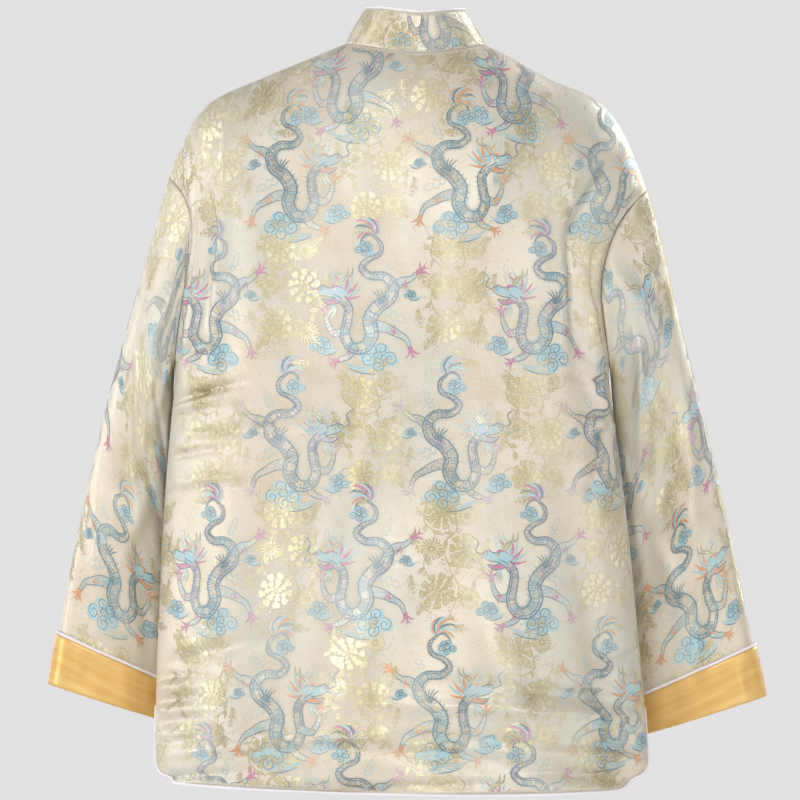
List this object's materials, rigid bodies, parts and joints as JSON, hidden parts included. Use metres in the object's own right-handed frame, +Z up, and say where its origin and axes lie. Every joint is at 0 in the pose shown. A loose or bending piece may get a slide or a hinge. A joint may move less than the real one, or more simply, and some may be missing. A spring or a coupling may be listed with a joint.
{
  "type": "tang jacket",
  "caption": "Straight brocade jacket with a stand collar, dropped sleeves, turned-up satin cuffs, side vents and frog closures, in its hollow worn form.",
  "frame": {"origin": "in the middle between the shoulders, at the height of the back neck seam, where the wearer's neck and shoulders hold the jacket", "axes": "+Z up, the jacket faces -Y, the wearer's left is +X"},
  "size_m": [0.7227, 0.2513, 0.7868],
  "materials": {
    "brocade": "cream satin ground with a tone-on-tone gold weave and coloured dragon figures",
    "satin": "plain gold satin",
    "piping": "pale satin piping",
    "frog_cord": "bias cord of the gold brocade"
  },
  "bodies": {
    "root": {"back_panel": "brocade", "front_left": "brocade", "front_right": "brocade", "sleeve_left": "brocade", "sleeve_right": "brocade", "collar": "brocade", "cuff_left": "satin", "cuff_right": "satin", "piping_back": "piping", "piping_front_left": "piping", "piping_front_right": "piping", "piping_collar": "piping", "piping_cuff_left": "piping", "piping_cuff_right": "piping", "frog_loop_1": "frog_cord", "frog_loop_2": "frog_cord", "frog_loop_3": "frog_cord", "frog_loop_4": "frog_cord", "frog_loop_5": "frog_cord", "frog_loop_6": "frog_cord", "frog_loop_7": "frog_cord", "frog_knot_1": "frog_cord", "frog_knot_2": "frog_cord", "frog_knot_3": "frog_cord", "frog_knot_4": "frog_cord", "frog_knot_5": "frog_cord", "frog_knot_6": "frog_cord", "frog_knot_7": "frog_cord"}
  },
  "joints": []
}
